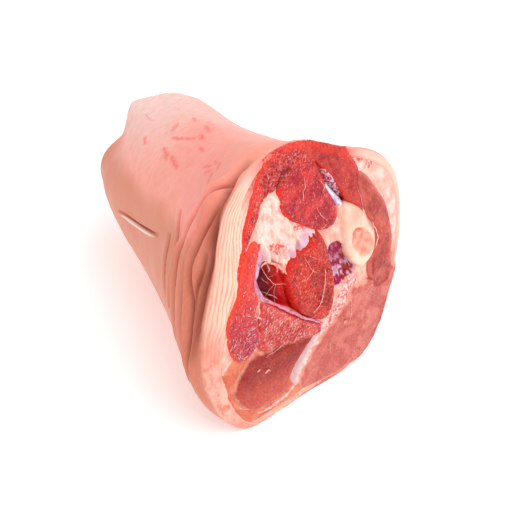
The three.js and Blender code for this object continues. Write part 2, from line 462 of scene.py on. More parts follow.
def makeRind():
    rows = rindRings()
    around = rindSettings["around"]
    columnHours = np.interp(np.arange(around) / around, *rindSettings["columns"])
    clock = np.tile(columnHours, len(rows))

    def column(index):
        return np.repeat([float(row[index]) for row in rows], around)

    narrow = np.repeat([row[1] == "narrow" for row in rows], around)
    station, insetPart, forwardPart = column(0), column(2), column(3)
    share, sink, across = column(4), column(5), column(6)
    roll = np.where(narrow, rollAt(body["narrowRoll"], clock), rollAt(body["wideRoll"], clock))
    side = np.where(narrow, -1, 1)
    points = onSkin(station, clock, roll * insetPart, share, side * (roll * forwardPart - sink))

    grid = points.reshape(len(rows), around, 3)
    alongWay = np.gradient(grid, axis=0)
    roundWay = np.roll(grid, -1, 1) - np.roll(grid, 1, 1)
    outward = np.cross(alongWay, roundWay).reshape(-1, 3)
    outward /= np.maximum(np.linalg.norm(outward, axis=1, keepdims=True), 1e-9)

    shown = (sink == 0) & (share == 1)
    onLip = smooth(*rindSettings["lipStart"], across) * shown
    lift = np.zeros(len(points))
    crease = np.zeros(len(points))
    for path, depth, width, puff in rindSettings["folds"]:
        away, along, _ = nearCurve(points, skinCurve(path), 5 * width)
        taper = np.sin(np.clip(0.04 + 0.92 * along, 0, 1) * math.pi) ** 0.5
        waver = 1 + 0.3 * lumps(points, 9, depth)
        lift -= depth * taper * waver * np.exp(-((away / width) ** 1.4)) * (1 - onLip)
        lift += puff * taper * np.exp(-(((away - 2.6 * width) / (1.5 * width)) ** 2)) * (1 - onLip)
        crease = np.maximum(crease, taper * np.exp(-((away / (0.8 * width)) ** 2)))
    # a knife slit, its lower side turned out a little
    path, depth, width = rindSettings["slit"]
    away, along, nearest = nearCurve(points, skinCurve(path), 5)
    open_ = np.sin(np.clip(along, 0, 1) * math.pi) ** 0.7
    below = away * np.sign(nearest[:, 2] - points[:, 2] + 0.001)
    slit = open_ * np.exp(-((away / width) ** 2))
    slitLip = open_ * np.exp(-(((below - 1.5) / 0.8) ** 2))
    lift += 0.9 * slitLip + 0.4 * open_ * np.exp(-(((below + 1.3) / 0.9) ** 2)) - depth * slit
    path, depth, width = rindSettings["nick"]
    away, along, _ = nearCurve(points, skinCurve(path), 4)
    nick = np.exp(-((away / width) ** 2))
    lift -= depth * nick

    def strokes(marks):
        total = np.zeros(len(points))
        for start, end, width in marks:
            far = (end[0], end[1] + hours if end[1] < start[1] - 6 else end[1])
            away, _, _ = nearCurve(points, skinCurve([start, far], 4), 3 * width)
            total = np.maximum(total, np.exp(-((away / (1.9 * width)) ** 2)))
        return total

    # the skin's own unevenness
    (high, size), (fineHigh, fineSize) = rindSettings["unevenness"]
    lift += high * layers(points, size, 3) * shown
    lift += fineHigh * lumps(points, fineSize, 2) * shown * (1 - onLip)
    # grooves along the lip's cut fat, and the knotted fat low on its left
    wander = 0.9 * lumps(points, (40, 34, 34), 4) + 0.5 * lumps(points, 8, 5)
    turns = across * rindSettings["lipGrooves"] + wander
    groove = np.sin(turns * 2 * math.pi) * (0.7 + 0.6 * lumps(points, 11, 6))
    broad = smooth(*rindSettings["broadLip"], roll)
    zones = rindSettings["zones"]
    middle, wide = zones["knots"]
    knots = np.exp(-(((clock - middle) / wide) ** 4)) * onLip
    start, slant, wide = zones["tie"]
    tie = np.exp(-(((clock - start - slant * across) / wide) ** 2)) * window(across, 0.0, 0.3, 0.8, 1.0)
    lift += rindSettings["lipGrooveDepth"] * groove * onLip * broad * smooth(1.0, 0.85, across) * (1 - knots)
    lift += knots * (0.7 * lumps(points, (2.6, 4, 4), 8) + 0.35 * lumps(points, 1.5, 9)) - 1.0 * tie * shown
    points = points + outward * (lift * shown)[:, None]
    points[:, 2] = np.maximum(points[:, 2], 0)

    poles = points.reshape(len(rows), around, 3)[[0, -1]].mean(1)
    allPoints = np.concatenate([poles[:1], points, poles[1:]])

    def withPoles(values):
        return np.concatenate([values[:1], values, values[-1:]])

    upper = fromSix(clock)
    marks = {
        "across": across, "lip": onLip, "groove": groove * onLip * broad, "crease": crease * (1 - onLip),
        "slit": slit, "slitLip": slitLip, "nick": nick, "knots": knots,
        "blood": strokes(rindSettings["bloodMarks"]),
        "blush": strokes(rindSettings["blushes"]), "narrowRim": narrow * insetPart, "thinLip": 1 - broad,
        "shade": window(clock, *zones["shade"]),
        # painted shade: the valley between the folds and the lip, painted darker
        "valley": smooth(4.6, 6.0, station) * window(clock, *zones["valley"]) * (1 - onLip),
        "lowLip": window(clock, *zones["lowLip"]) * onLip,
        "topRim": window(upper, *zones["topRim"]) * onLip,
        "meatRim": window(clock, *zones["meatRim"]) * onLip,
        "pale": smooth(4.5, 0, station) * window(upper, *zones["pale"]),
    }
    marks = {name: withPoles(values) for name, values in marks.items()}
    return makeMesh("rind", allPoints, tubeFaces(len(rows), around), marks)


def makeRindMaterial():
    g = Graph("rindSkin")
    paints = {name: paint(*colour) for name, colour in rindSettings["colours"].items()}
    grain = g.stretched((1, 5, 5))
    blotch = g.between(g.noise(30, 4), 0.35, 0.68)
    colour = g.blend(blotch, paints["peach"], paints["pink"])
    colour = g.blend(g.mark("pale") * 0.8, colour, paints["pale"])
    # painted shade: the lower left side, hours 6 to 11, is tinted a darker tan
    undersideShade = g.between(g.mark("shade") + (g.noise(18, 3) - 0.5) * 0.5, 0.25, 0.9)
    colour = g.blend(undersideShade * 0.85, colour, paints["undersideShade"])
    # painted shade: the valley between the folds and the lip is painted a darker brown
    valley = g.between(g.mark("valley") + (g.noise(9, 3) - 0.5) * 0.6, 0.2, 0.9)
    colour = g.blend(valley * 0.75, colour, paints["valley"])
    fine = g.between(g.noise(0.8, 3, place=grain), 0.4, 0.7)
    colour = g.blend(fine * 0.3, colour, paints["grain"])
    colour = g.blend(g.mark("blush") * 0.35, colour, paints["blush"])
    flushed = g.mark("blood") + (g.noise(1.5, 5, 0.7) - 0.5) * 3.0
    colour = g.blend(g.between(flushed, 0.15, 1.3) * g.mark("blood") * 0.65, colour, paints["blood"])
    # painted shade: the creases are painted dark brown
    colour = g.blend(g.mark("crease") * 0.85, colour, paints["crease"])
    colour = g.blend(g.between(g.mark("slitLip"), 0.25, 0.7) * 0.9, colour, paints["slitLip"])
    colour = g.blend(g.between(g.mark("slit"), 0.35, 0.8) * 0.85, colour, paints["slit"])
    colour = g.blend(g.mark("nick") * 0.35, colour, paints["nick"])
    cream = g.blend(g.mark("across"), paints["lipOuter"], paints["lipInner"])
    lines = g.between(g.mark("groove") + (g.noise(2, 3, place=g.stretched((1, 8, 8))) - 0.5) * 2.2, 0.1,
                      -0.9)
    fat = g.blend(lines * 0.85, cream, paints["lipLines"])
    fat = g.blend(g.mark("thinLip") * 0.75, fat, paints["thinLip"])
    knotty = g.blend(g.between(g.noise(2.4, 4, place=g.stretched((1, 2, 2))), 0.4, 0.75), paints["knots"],
                     paints["knotsRed"])
    fat = g.blend(g.mark("lowLip") * 0.7, fat, paints["lowLip"])
    fat = g.blend(g.mark("knots") * 0.85, fat, knotty)
    edge = g.between(g.mark("across"), 0.9, 1.0)
    fat = g.blend(edge * 0.5, fat, paints["lipEdge"])
    fat = g.blend(g.mark("topRim") * 0.9, fat, paints["topRim"])
    fat = g.blend(g.mark("meatRim") * 0.9, fat, paints["meatRim"])
    colour = g.blend(g.mark("lip"), colour, fat)
    colour = g.blend(g.between(g.mark("narrowRim"), 0.3, 0.8), colour, paints["narrowRim"])
    normal = g.bump(g.noise(0.8, 3, place=grain), 0.11)
    normal = g.bump(g.noise(4, 3), 0.25, normal)
    rough = g.between(g.noise(12, 2), 0.2, 0.8) * 0.15 + 0.38
    return g.finish({**wet, "Coat Weight": 0.06}, {
        "Base Color": colour, "Roughness": rough, "Normal": normal,
    })


rind = makeRind()
settle(rind, makeRindMaterial())

# The wide cut. Outlines are (y, z) in millimetres, seen facing the cut, with y to the right.
wideMiddle = stations[-1, 1:3]


def wideReach(spots):
    # how far each spot is from the cut's middle, where the flesh ends that way, the roll and the hour
    away = spots - wideMiddle
    clock = (np.arctan2(away[:, 0], away[:, 1]) * 6 / math.pi) % hours
    roll = rollAt(body["wideRoll"], clock)
    edge = byClock(np.tile(stations[-1, 4:], (len(spots), 1)), clock) - roll
    return np.linalg.norm(away, axis=1), edge, roll, clock


def onWideCut(spots, lift):
    # points of the wide cut, lift in front of its smooth swelling face
    away, edge, roll, _ = wideReach(spots)
    stand = roll + (body["wideStand"] - roll) * (1 - np.clip(away / edge, 0, 1) ** 2)
    x = stations[-1, 0] + stations[-1, 3] * (spots[:, 1] - wideMiddle[1]) + stand + lift
    # what lies deep near the edge stays inside the narrowing shank
    inward = np.clip(-lift - 1.5, 0, 8) * 0.022 * smooth(0.6, 0.95, away / edge)
    spots = spots + (wideMiddle - spots) * inward[:, None]
    return np.stack([x, spots[:, 0], spots[:, 1]], 1)


def tuckWide(spots):
    # the flesh dips under the rolled skin, or laps over it where there is no skin to see
    away, edge, roll, clock = wideReach(spots)
    beyond = away - edge
    laps = np.clip(rollAt(body["fleshReach"], clock), 0, 1)
    bulge = np.clip(rollAt(body["fleshBulge"], clock), 0, 5)
    reach = roll + bulge
    over = np.sqrt(np.maximum(reach**2 - np.clip(beyond, 0, reach) ** 2, 0)) - reach
    over += 0.35 * smooth(0, 0.6, beyond)
    drop = -3.0 * smooth(-1.0, 1.2, beyond) * (1 - laps) + over * laps
    return drop, beyond < 1.6 * (1 - laps) + (0.94 * roll + bulge) * laps


def flatFor(spots):
    # (y, z) spots as points, for lumps
    return np.concatenate([np.zeros((len(spots), 1)), spots], axis=1)


def loopsOf(steps):
    # joins directed steps (from, to) into closed loops
    after = {}
    for a, b in steps:
        after.setdefault(a, []).append(b)
    loops = []
    while after:
        first = next(iter(after))
        loop, at = [], first
        while at in after:
            loop.append(at)
            ways = after[at]
            following = ways.pop()
            if not ways:
                del after[at]
            at = following
        loops.append(loop)
    return loops


def makeSlab(name, place, outline, step, behind, shape, margin=0.8):
    # flesh in a cut: a fine grid inside an outline, lifted as shape(spots, depth) says, closed behind
    low, high = outline.min(0) - margin - step, outline.max(0) + margin + step
    ys, zs = np.arange(low[0], high[0], step), np.arange(max(low[1], 0.05), high[1], step)
    spots = np.stack(np.meshgrid(ys, zs, indexing="ij"), -1).reshape(-1, 2)
    depth = depthInside(spots, outline)
    lift, marks, allowed = shape(spots, depth)
    keep = ((depth > -margin) & allowed).reshape(len(ys), len(zs))
    cells = keep[:-1, :-1] & keep[1:, :-1] & keep[1:, 1:] & keep[:-1, 1:]
    at = np.arange(len(spots)).reshape(len(ys), len(zs))
    corners = np.stack([at[:-1, :-1], at[1:, :-1], at[1:, 1:], at[:-1, 1:]], -1)
    padded = np.pad(cells, 1)
    count = len(spots)
    steps = []
    for dy, dz, a, b in ((0, -1, 0, 1), (1, 0, 1, 2), (0, 1, 2, 3), (-1, 0, 3, 0)):
        edge = cells & ~padded[1 + dy:len(ys) + dy, 1 + dz:len(zs) + dz]
        steps += corners[edge][:, [b, a]].tolist()
    walls = [[a, b, b + count, a + count] for a, b in steps]
    backs = [[spot + count for spot in loop] for loop in loopsOf(steps)]
    points = np.concatenate([place(spots, lift), place(spots, np.full(count, -behind))])
    faces = corners[cells].tolist() + walls + backs
    used = sorted({spot for face in faces for spot in face})
    fresh = dict(zip(used, range(len(used))))
    faces = [[fresh[spot] for spot in face] for face in faces]
    return makeMesh(name, points[used], faces,
                    {mark: np.tile(values, 2)[used] for mark, values in marks.items()})


def nearLine(spots, path, width):
    # 1 on a drawn line, fading to 0 about twice the width away
    away, _, _ = nearCurve(spots, curveThrough(path, 6), 2.5 * width)
    return np.exp(-((away / width) ** 2))


def nearSpot(spots, y, z, wide, tall, turn=0):
    # 1 in the middle of an oval, falling to 0 outside it
    angle = math.radians(turn)
    dy, dz = spots[:, 0] - y, spots[:, 1] - z
    across = (dy * math.cos(angle) + dz * math.sin(angle)) / wide
    up = (dz * math.cos(angle) - dy * math.sin(angle)) / tall
    return np.exp(-(across**2 + up**2))


fatBedSettings = {
    "step": 0.5,
    "hollow": [(-25, 85), (-22, 87), (-18, 85), (-14, 80), (-12, 74), (-11, 67), (-9, 60), (-8, 53),
               (-13, 56), (-19, 61), (-25, 68), (-27.5, 75), (-28, 81)],
    "hollowDepth": 8.5,
    "pocket": [(13, 76), (17, 78), (22, 76), (26, 71), (28, 65), (30, 59), (27, 55), (21, 54), (16, 53),
               (13, 58), (12, 67)],
    "pocketDepth": 2.6,
    "crevice": [(12, 118), (15, 114), (18, 109), (22, 103), (26, 97), (28, 94)],
    "creviceDepth": 4.5,
    "wedge": [(16.5, 107), (18.5, 103.5), (20.5, 99.5), (22.5, 96.5)],
    "whiteFat": [(-20, 112), (-15, 115), (-10, 112), (-9, 105), (-4, 98), (2, 94), (6, 89), (0, 84),
                 (-6, 83), (-11, 80), (-16, 83), (-23, 87), (-26, 93), (-24, 102)],
    "froth": [(25, 52), (20, 48), (16, 42), (12, 37), (9, 32)],
    "frothHigh": [(18.8, 112), (20.7, 108), (22.8, 103.5), (25.4, 99), (27.3, 96)],
    "fascia": [(1.5, 36.4), (-2.5, 31.6), (-5.6, 28.2), (-9, 23.8), (-12.6, 19.4), (-14, 14)],
    "fatBand": [(5.5, 37), (2.5, 31), (-1.5, 26), (-5.5, 21), (-9, 16.5), (-12, 12)],
    "silver": [(-24, 91), (-27, 86), (-28.5, 79), (-27.5, 73), (-25, 69)],
    "lavender": [(-7, 85), (-2, 86), (1, 90)],
    "stains": [(29, 119, 5, 4), (34, 114, 4, 3), (40, 109, 5, 2.5), (45, 104, 4, 2), (-14, 90, 3, 3),
               (-17, 92, 2, 3), (-3, 96, 2.5, 2), (0, 94, 3, 2), (55, 50, 3, 4)],
    "colours": {
        "lump": (246, 168, 148), "lumpPale": (255, 206, 188), "white": (255, 226, 216),
        "strands": (240, 152, 136), "patch": (244, 166, 146), "outer": (250, 178, 164),
        "outerPale": (255, 220, 212), "lip": (254, 210, 190), "lipRidge": (242, 158, 130),
        "fatBand": (240, 166, 162), "fatBandPale": (255, 226, 222), "froth": (224, 86, 84),
        "frothPale": (255, 214, 212), "fascia": (190, 180, 190), "silver": (182, 96, 140),
        "silverPale": (214, 176, 206), "lavender": (206, 160, 196), "blood": (240, 52, 40),
        "pocket": (160, 24, 76), "pocketSide": (160, 44, 40), "web": (222, 184, 208),
        "crevice": (140, 22, 44), "frothHigh": (186, 60, 84), "frothHighPale": (252, 206, 216),
        "wedge": (196, 196, 230), "wedgePale": (236, 236, 250), "hollow": (104, 8, 22),
        # the hollow's near black is painted shade, its bright red side painted light
        "hollowSide": (255, 66, 56), "hollowDeep": (140, 16, 32), "hollowSideDeep": (222, 26, 24),
        "underFlesh": (182, 48, 44), "underFleshPale": (226, 112, 98),
    },
}


def makeFatBed():
    form = fatBedSettings
    clock = np.arange(0, hours, 0.1)
    rim = onSkin(np.full(len(clock), float(lastStation)), clock)[:, 1:]
    hollow, pocket, whiteFat = (curveThrough(form[k], 6, True) for k in ("hollow", "pocket", "whiteFat"))

    def shape(spots, depth):
        flat = flatFor(spots)
        ragged = 0.7 * lumps(flat, 3.2) + 0.4 * lumps(flat, 1.4, 3)
        inHollow = smooth(-0.4, 2.2, depthInside(spots, hollow) + ragged * 0.5)
        inPocket = smooth(-0.5, 2.5, depthInside(spots, pocket) + ragged * 0.8)
        white = smooth(-1.5, 1.5, depthInside(spots, whiteFat) + ragged)
        away, edge, _, clock = wideReach(spots)
        lipBand = smooth(0.78, 0.84,
                         away / edge + 0.012 * lumps(flat,
                                                     3)) * smooth(8.3, 8.9, clock) * smooth(11.5, 11, clock)
        lipGroove = np.sin(((away - edge) / 1.9 + 0.5 * lumps(flat, 12, 4)) * 2 * math.pi)
        lines = {
            name: nearLine(spots, form[name], width) for name, width in (
                ("crevice", 1.6), ("wedge", 1.7), ("froth", 4.4), ("frothHigh", 1.3), ("fascia", 1.5),
                ("fatBand", 2.9), ("silver", 2.0), ("lavender", 2.8),
            )
        }
        lift = -0.9 + 0.3 * layers(flat, 4, 2) + 0.15 * lumps(flat, 1.1, 6)
        frayed = 2.0 * layers(flat, (1, 2.4, 6), 3, 8) + 0.8 * lumps(flat, (1, 0.9, 3.2), 5)
        lift += white * (1.5 + frayed) * (1 - inHollow)
        band = 0.8 + 0.9 * lumps(flat, 2.2, 11) + 0.4 * lumps(flat, 1, 7)
        lift += lines["silver"] * 1.8 + lines["fatBand"] * band + lines["fascia"] * 0.9
        froth = 0.9 + 0.5 * lumps(flat, 1.1, 9)
        frothHigh = 2.6 + 0.6 * lumps(flat, 1, 9)
        lift += lines["froth"] * froth + lines["frothHigh"] * frothHigh
        sideways = smooth(-21, -11, spots[:, 0] + (spots[:, 1] - 70) * 0.12)
        lift -= inHollow * (form["hollowDepth"] * (1 - 0.62 * sideways) + 0.9 * lumps(flat, 6, 4))
        lift -= inPocket * form["pocketDepth"]
        lipSwell = 0.7 * smooth(0.75, 0.95, away / edge) * smooth(-5, -15, spots[:, 0])
        lift += lipSwell + 0.13 * lipGroove * lipBand
        folds = 0.9 * lumps(flat, (1, 1.4, 4), 7) + 0.4 * lumps(flat, 1, 12)
        lift += inPocket * folds - lines["crevice"] * form["creviceDepth"] + lines["wedge"] * 3.2
        drop, allowed = tuckWide(spots)
        outer = smooth(0.82, 0.97, away / edge) * smooth(0.9, 1.5, clock) * smooth(3.6, 3.0, clock)
        atTop = np.maximum(smooth(11, 11.5, clock), smooth(1.1, 0.7, clock))
        underFlesh = smooth(0.86, 0.94, away / edge) * atTop
        stain = sum(nearSpot(spots, *spot) for spot in form["stains"])
        return lift + drop, {
            "hollow": inHollow, "hollowSide": sideways,
            "pocket": inPocket, "pocketSide": smooth(16, 27, spots[:, 0]),
            "pocketLow": smooth(72, 58, spots[:, 1]),
            "white": white, "stain": np.clip(stain, 0, 1), "outer": outer, "lipBand": lipBand,
            "underFlesh": underFlesh,
            "lipGroove": lipGroove, **lines,
        }, allowed

    return makeSlab("fatBed", onWideCut, rim, form["step"], 12, shape)


def makeFatBedMaterial():
    g = Graph("cutFat")
    paints = {name: paint(*colour) for name, colour in fatBedSettings["colours"].items()}
    lump, froth = g.noise(5, 4), g.noise(1.3, 4)
    strands = g.noise(1.8, 5, place=g.stretched((1, 1, 4), (12, 0, 0)), warp=0.6)
    colour = g.blend(g.between(lump, 0.35, 0.65), paints["lump"], paints["lumpPale"])
    colour = g.blend(g.mark("white") * 0.85, colour, paints["white"])
    colour = g.blend(g.between(strands, 0.45, 0.66) * 0.7, colour, paints["strands"])
    colour = g.blend(g.between(g.noise(6, 4), 0.5, 0.68) * 0.6, colour, paints["patch"])
    colour = g.blend(g.mark("outer") * 0.8, colour,
                     g.blend(g.between(lump, 0.4, 0.62), paints["outer"], paints["outerPale"]))
    ridged = g.between(g.mark("lipGroove") + (g.noise(2, 3) - 0.5) * 2.2, 0.1, -0.9)
    colour = g.blend(g.mark("lipBand"), colour, g.blend(ridged * 0.85, paints["lip"], paints["lipRidge"]))
    colour = g.blend(g.mark("fatBand") * 0.9, colour,
                     g.blend(g.between(froth, 0.35, 0.6), paints["fatBand"], paints["fatBandPale"]))
    pinkFroth = g.blend(g.between(froth, 0.42, 0.6), paints["froth"], paints["frothPale"])
    colour = g.blend(g.between(g.mark("froth"), 0.25, 0.7) * 0.9, colour, pinkFroth)
    colour = g.blend(g.mark("fascia") * 0.9, colour, paints["fascia"])
    colour = g.blend(g.mark("silver"), colour,
                     g.blend(g.between(strands, 0.4, 0.6), paints["silver"], paints["silverPale"]))
    colour = g.blend(g.mark("lavender") * 0.7, colour, paints["lavender"])
    blood = g.between(g.mark("stain") * 0.8 + (g.noise(1.4, 4) - 0.5) * 2.6, 0.35,
                      0.95) * g.between(g.mark("stain"), 0.1, 0.5)
    colour = g.blend(blood * 0.85, colour, paints["blood"])
    web = g.between(g.noise(1.6, 4, place=g.stretched((1, 1, 3), (20, 0, 0))), 0.47, 0.6)
    deep = g.blend(g.mark("pocketSide"), paints["pocket"], paints["pocketSide"])
    pocket = g.blend(web * (g.mark("pocketLow") * 0.7 + 0.3), deep, paints["web"])
    colour = g.blend(g.between(g.mark("pocket"), 0.2, 0.6), colour, pocket)
    # painted shade: the crevice between the round and top muscles is painted dark red
    colour = g.blend(g.between(g.mark("crevice"), 0.2, 0.6), colour, paints["crevice"])
    colour = g.blend(g.between(g.mark("frothHigh"), 0.3, 0.6), colour,
                     g.blend(g.between(froth, 0.44, 0.56), paints["frothHigh"], paints["frothHighPale"]))
    colour = g.blend(g.between(g.mark("wedge"), 0.25, 0.5), colour,
                     g.blend(g.between(strands, 0.45, 0.6), paints["wedge"], paints["wedgePale"]))
    # the hollow's red flesh with painted light and shade: near black on its left as painted shade, bright red
    # on its right wall as painted light
    hollowLitAndShaded = g.blend(g.mark("hollowSide"), paints["hollow"], paints["hollowSide"])
    hollowLitAndShaded = g.blend(g.between(g.noise(7, 3), 0.35, 0.65), hollowLitAndShaded,
                   g.blend(g.mark("hollowSide"), paints["hollowDeep"], paints["hollowSideDeep"]))
    colour = g.blend(g.between(g.mark("hollow"), 0.15, 0.5), colour, hollowLitAndShaded)
    colour = g.blend(g.mark("underFlesh") * 0.85, colour,
                     g.blend(g.between(froth, 0.4, 0.6), paints["underFlesh"], paints["underFleshPale"]))
    normal = g.bump(g.noise(0.8, 4), 0.14)
    normal = g.bump(strands, 0.7, normal)
    return g.finish({**wet, "Coat Weight": 0.12, "Roughness": 0.34},
                    {"Base Color": colour, "Normal": normal})


settle(makeFatBed(), makeFatBedMaterial())

# Muscles: outline; how far they stand out; how wide their rounded shoulder is; how lumpy; which way the grain
# runs and how long it is; how much of the fibres' net shows; how much of the bright colour lies low; spots
# (y, z, size) where they run into their neighbour without an edge; a crease along (y, z) points, with
# painted shade along it; and colours.
plainMuscle = {"sink": 0.0, "open": [], "crease": []}
muscles = {
    "upperLeftMuscle": {
        "outline": [(14, 132), (10, 137), (0, 139), (-10, 136), (-16, 127.5), (-20, 122), (-24, 116),
                    (-27, 111), (-30, 106), (-32, 100), (-35, 94), (-38, 87), (-38, 84), (-36, 87),
                    (-33, 93), (-29, 98), (-25, 103), (-21, 108), (-18, 113), (-13, 115), (-6, 114),
                    (0, 113), (8, 114), (15, 120)],
        "rise": 1.0, "shoulder": 3, "coarse": 0.4, "grain": (-25, 2.2), "net": 0.22,
        "crease": [(-1, 122), (-6, 120), (-10, 115), (-11.5, 109)],
        "deep": (166, 26, 36), "bright": (218, 58, 50), "rim": (244, 58, 40), "fleck": (255, 176, 164),
    },
    "roundMuscle": {
        "outline": [(-4, 119), (1, 121), (7, 121), (13, 118.5), (16, 111), (18.5, 103), (21, 96),
                    (20.5, 91), (18, 88), (14, 87), (9, 88.5), (4, 91.5), (0, 95), (-4, 98), (-7, 101),
                    (-9.5, 106), (-10, 112), (-8, 117)],
        "rise": 2.6, "shoulder": 5, "coarse": 0.3, "grain": (-20, 2.6), "net": 0.1,
        "open": [(5, 121, 5), (12, 119, 4)], "crease": [(-1, 122), (-6, 120), (-10, 115), (-11.5, 109)],
        "deep": (166, 28, 42), "bright": (214, 62, 60), "rim": (250, 46, 28), "fleck": (252, 166, 168),
    },
    "topMuscle": {
        "outline": [(9, 130), (12, 136), (20, 134), (28, 128), (33, 121), (34, 114), (36.5, 109),
                    (37.5, 104), (35.5, 98), (36, 91), (36, 85), (32, 90), (28, 94.5), (25.5, 100),
                    (23, 105), (20, 111), (16.5, 115.5), (13, 120)],
        "rise": 1.5, "shoulder": 4, "coarse": 0.2, "grain": (32, 4), "net": 0.08, "open": [(10, 128, 7)],
        "deep": (162, 38, 40), "bright": (206, 66, 58), "rim": (222, 64, 54), "fleck": (248, 160, 146),
    },
    "rightMuscle": {
        "outline": [(35, 104), (39, 103), (43, 98), (47, 90), (51, 82), (53, 73), (54, 63), (53, 55),
                    (52, 48), (49, 42), (43, 41), (38, 45), (36, 52), (37, 58), (39, 61), (42, 65),
                    (43, 70), (42, 75), (39, 81), (37, 87), (36, 95)],
        "rise": 1.6, "shoulder": 4, "coarse": 0.18, "grain": (10, 6), "net": 0.06, "open": [(45, 45, 6)],
        "deep": (166, 58, 50), "bright": (206, 92, 78), "rim": (218, 116, 104), "fleck": (232, 164, 150),
    },
    "middleMuscle": {
        "outline": [(4, 90), (7, 89), (10, 85), (12, 79), (12.5, 73), (13.5, 66), (14, 59), (13, 52),
                    (11, 46), (6, 42), (0, 45), (-4, 48), (-8, 53), (-10, 58), (-11, 63), (-12, 69),
                    (-12.5, 75), (-10, 80), (-8, 83), (-5, 84), (-1, 83), (2, 86)],
        "rise": 2.4, "shoulder": 4.5, "coarse": 0.42, "grain": (-10, 1.6), "net": 0.12,
        "deep": (158, 16, 20), "bright": (210, 50, 40), "rim": (222, 38, 24), "fleck": (255, 170, 150),
    },
    "paleMuscle": {
        "outline": [(25, 51), (30, 48), (36, 47), (42, 44), (49, 43), (57, 47), (64, 52), (64, 30),
                    (58, 16), (50, 6), (40, 2.4), (30, 2.2), (20, 2.2), (10, 2.4), (0, 3.5), (-9, 6),
                    (-11, 12), (-8, 18), (-3, 25), (2, 30), (6, 34), (12, 38), (18, 42), (22, 45)],
        "rise": 1.2, "shoulder": 4, "coarse": 0.14, "grain": (40, 7), "net": 0.05,
        "open": [(40, 45, 5), (47, 45, 6)],
        "deep": (192, 86, 78), "bright": (216, 118, 106), "rim": (250, 180, 164), "fleck": (250, 196, 184),
    },
    "leftMuscle": {
        "outline": [(-22, 97), (-26, 98), (-30, 96), (-34, 92), (-37, 87), (-39, 81), (-42, 75), (-45, 70),
                    (-48, 63), (-48, 54), (-46, 46), (-42, 43), (-37, 44), (-33, 47), (-30, 52), (-31, 59),
                    (-31, 66), (-29, 70), (-30, 77), (-29, 83), (-26, 90)],
        "rise": 2.2, "shoulder": 4.5, "coarse": 0.3, "grain": (-8, 4), "net": 0.1, "sink": 0.6,
        "deep": (226, 64, 52), "bright": (172, 26, 58), "rim": (248, 80, 50), "fleck": (255, 196, 190),
    },
    "wedgeMuscle": {
        "outline": [(-27, 68), (-23, 65), (-18, 60), (-13, 55), (-8, 50), (-2, 45), (4, 40), (3, 36),
                    (-3, 36), (-8, 38), (-13, 39), (-17, 40), (-22, 41), (-27, 41), (-32, 45), (-31, 50),
                    (-30, 56), (-30, 60), (-28, 64)],
        "rise": 2.2, "shoulder": 3.5, "coarse": 0.46, "grain": (-45, 3), "net": 0.15,
        "deep": (188, 34, 36), "bright": (222, 84, 72), "rim": (226, 84, 88), "fleck": (255, 206, 198),
    },
    "edgeMuscle": {
        "outline": [(-44, 46), (-50, 44), (-55, 38), (-58, 30), (-56, 20), (-50, 10), (-42, 3.8),
                    (-30, 3.2), (-20, 3.4), (-10, 4), (-5, 6), (-12, 14), (-20, 22), (-32, 32), (-38, 43)],
        "rise": 0.4, "shoulder": 3, "coarse": 0.1, "grain": (10, 6), "net": 0.05,
        "deep": (214, 100, 72), "bright": (230, 134, 104), "rim": (240, 152, 122), "fleck": (252, 196, 172),
    },
    "lowerMuscle": {
        "outline": [(0, 36.5), (-5, 32), (-8, 29), (-12, 25), (-15, 20), (-16, 15), (-21, 12), (-28, 11),
                    (-35, 10.5), (-42, 13.5), (-46, 19), (-49, 26), (-48, 32), (-45, 37), (-41, 41),
                    (-37, 44), (-31, 43.5), (-27, 42), (-21, 42), (-15, 41), (-8, 39)],
        "rise": 2.8, "shoulder": 7, "coarse": 0.16, "grain": (30, 3), "net": 0.05, "sink": 0.75,
        "deep": (148, 38, 34), "bright": (206, 86, 72), "rim": (252, 170, 148), "fleck": (238, 164, 150),
    },
}


muscleShape = {
    "skirt": 2.2,  # how far the edge drops below the cut
    "openSink": 8,  # an open spot counts as this much further inside
    "lumpHeight": 0.35,
    "creaseDepth": 1.3,
    "creaseWidth": 1.1,
    "grid": 0.4,
    "behind": 5,
    "topEdge": (4.4, 5.2, 7.2, 7.8),  # hours from six between which the edge is raw at the top
}


def makeMuscle(name, form):
    outline = curveThrough(form["outline"], 6, True)

    def shape(spots, depth):
        flat = flatFor(spots)
        open_ = np.zeros(len(spots))
        for y, z, size in form["open"]:
            open_ = np.maximum(open_, nearSpot(spots, y, z, size, size))
        depth = depth + muscleShape["openSink"] * smooth(0.15, 0.8, open_)
        rise = form["rise"] + (1.0 - form["rise"]) * smooth(0.15, 0.8, open_)
        inside = np.clip((depth + 0.5) / form["shoulder"], 0, 1)
        skirt = muscleShape["skirt"]
        lift = (rise + skirt) * np.sqrt(1 - (1 - inside) ** 2) - skirt
        lift += np.minimum(depth + 0.5, 0) * 1.5
        lumpy = muscleShape["lumpHeight"] * layers(flat, 9, 2, form["rise"])
        lift += lumpy * smooth(0, 3, depth) * (1 - open_)
        lift += form["coarse"] * (lumps(flat, 1.3, 2) + 0.6 * lumps(flat, 0.75, 5)) * smooth(-0.5, 1, depth)
        crease = np.zeros(len(spots))
        if form["crease"]:
            crease = nearLine(spots, form["crease"], muscleShape["creaseWidth"])
        lift -= muscleShape["creaseDepth"] * crease
        drop, allowed = tuckWide(spots)
        low = smooth(0.25, 0.8, (outline[:, 1].max() - spots[:, 1]) / np.ptp(outline[:, 1]))
        away, edge, _, clock = wideReach(spots)
        topEdge = smooth(0.93, 1.0, away / edge) * window(fromSix(clock), *muscleShape["topEdge"])
        marks = {"inside": np.clip(depth, -1, 20), "low": low, "crease": crease, "topEdge": topEdge}
        return lift + drop, marks, allowed

    return makeSlab(name, onWideCut, outline, muscleShape["grid"], muscleShape["behind"], shape)


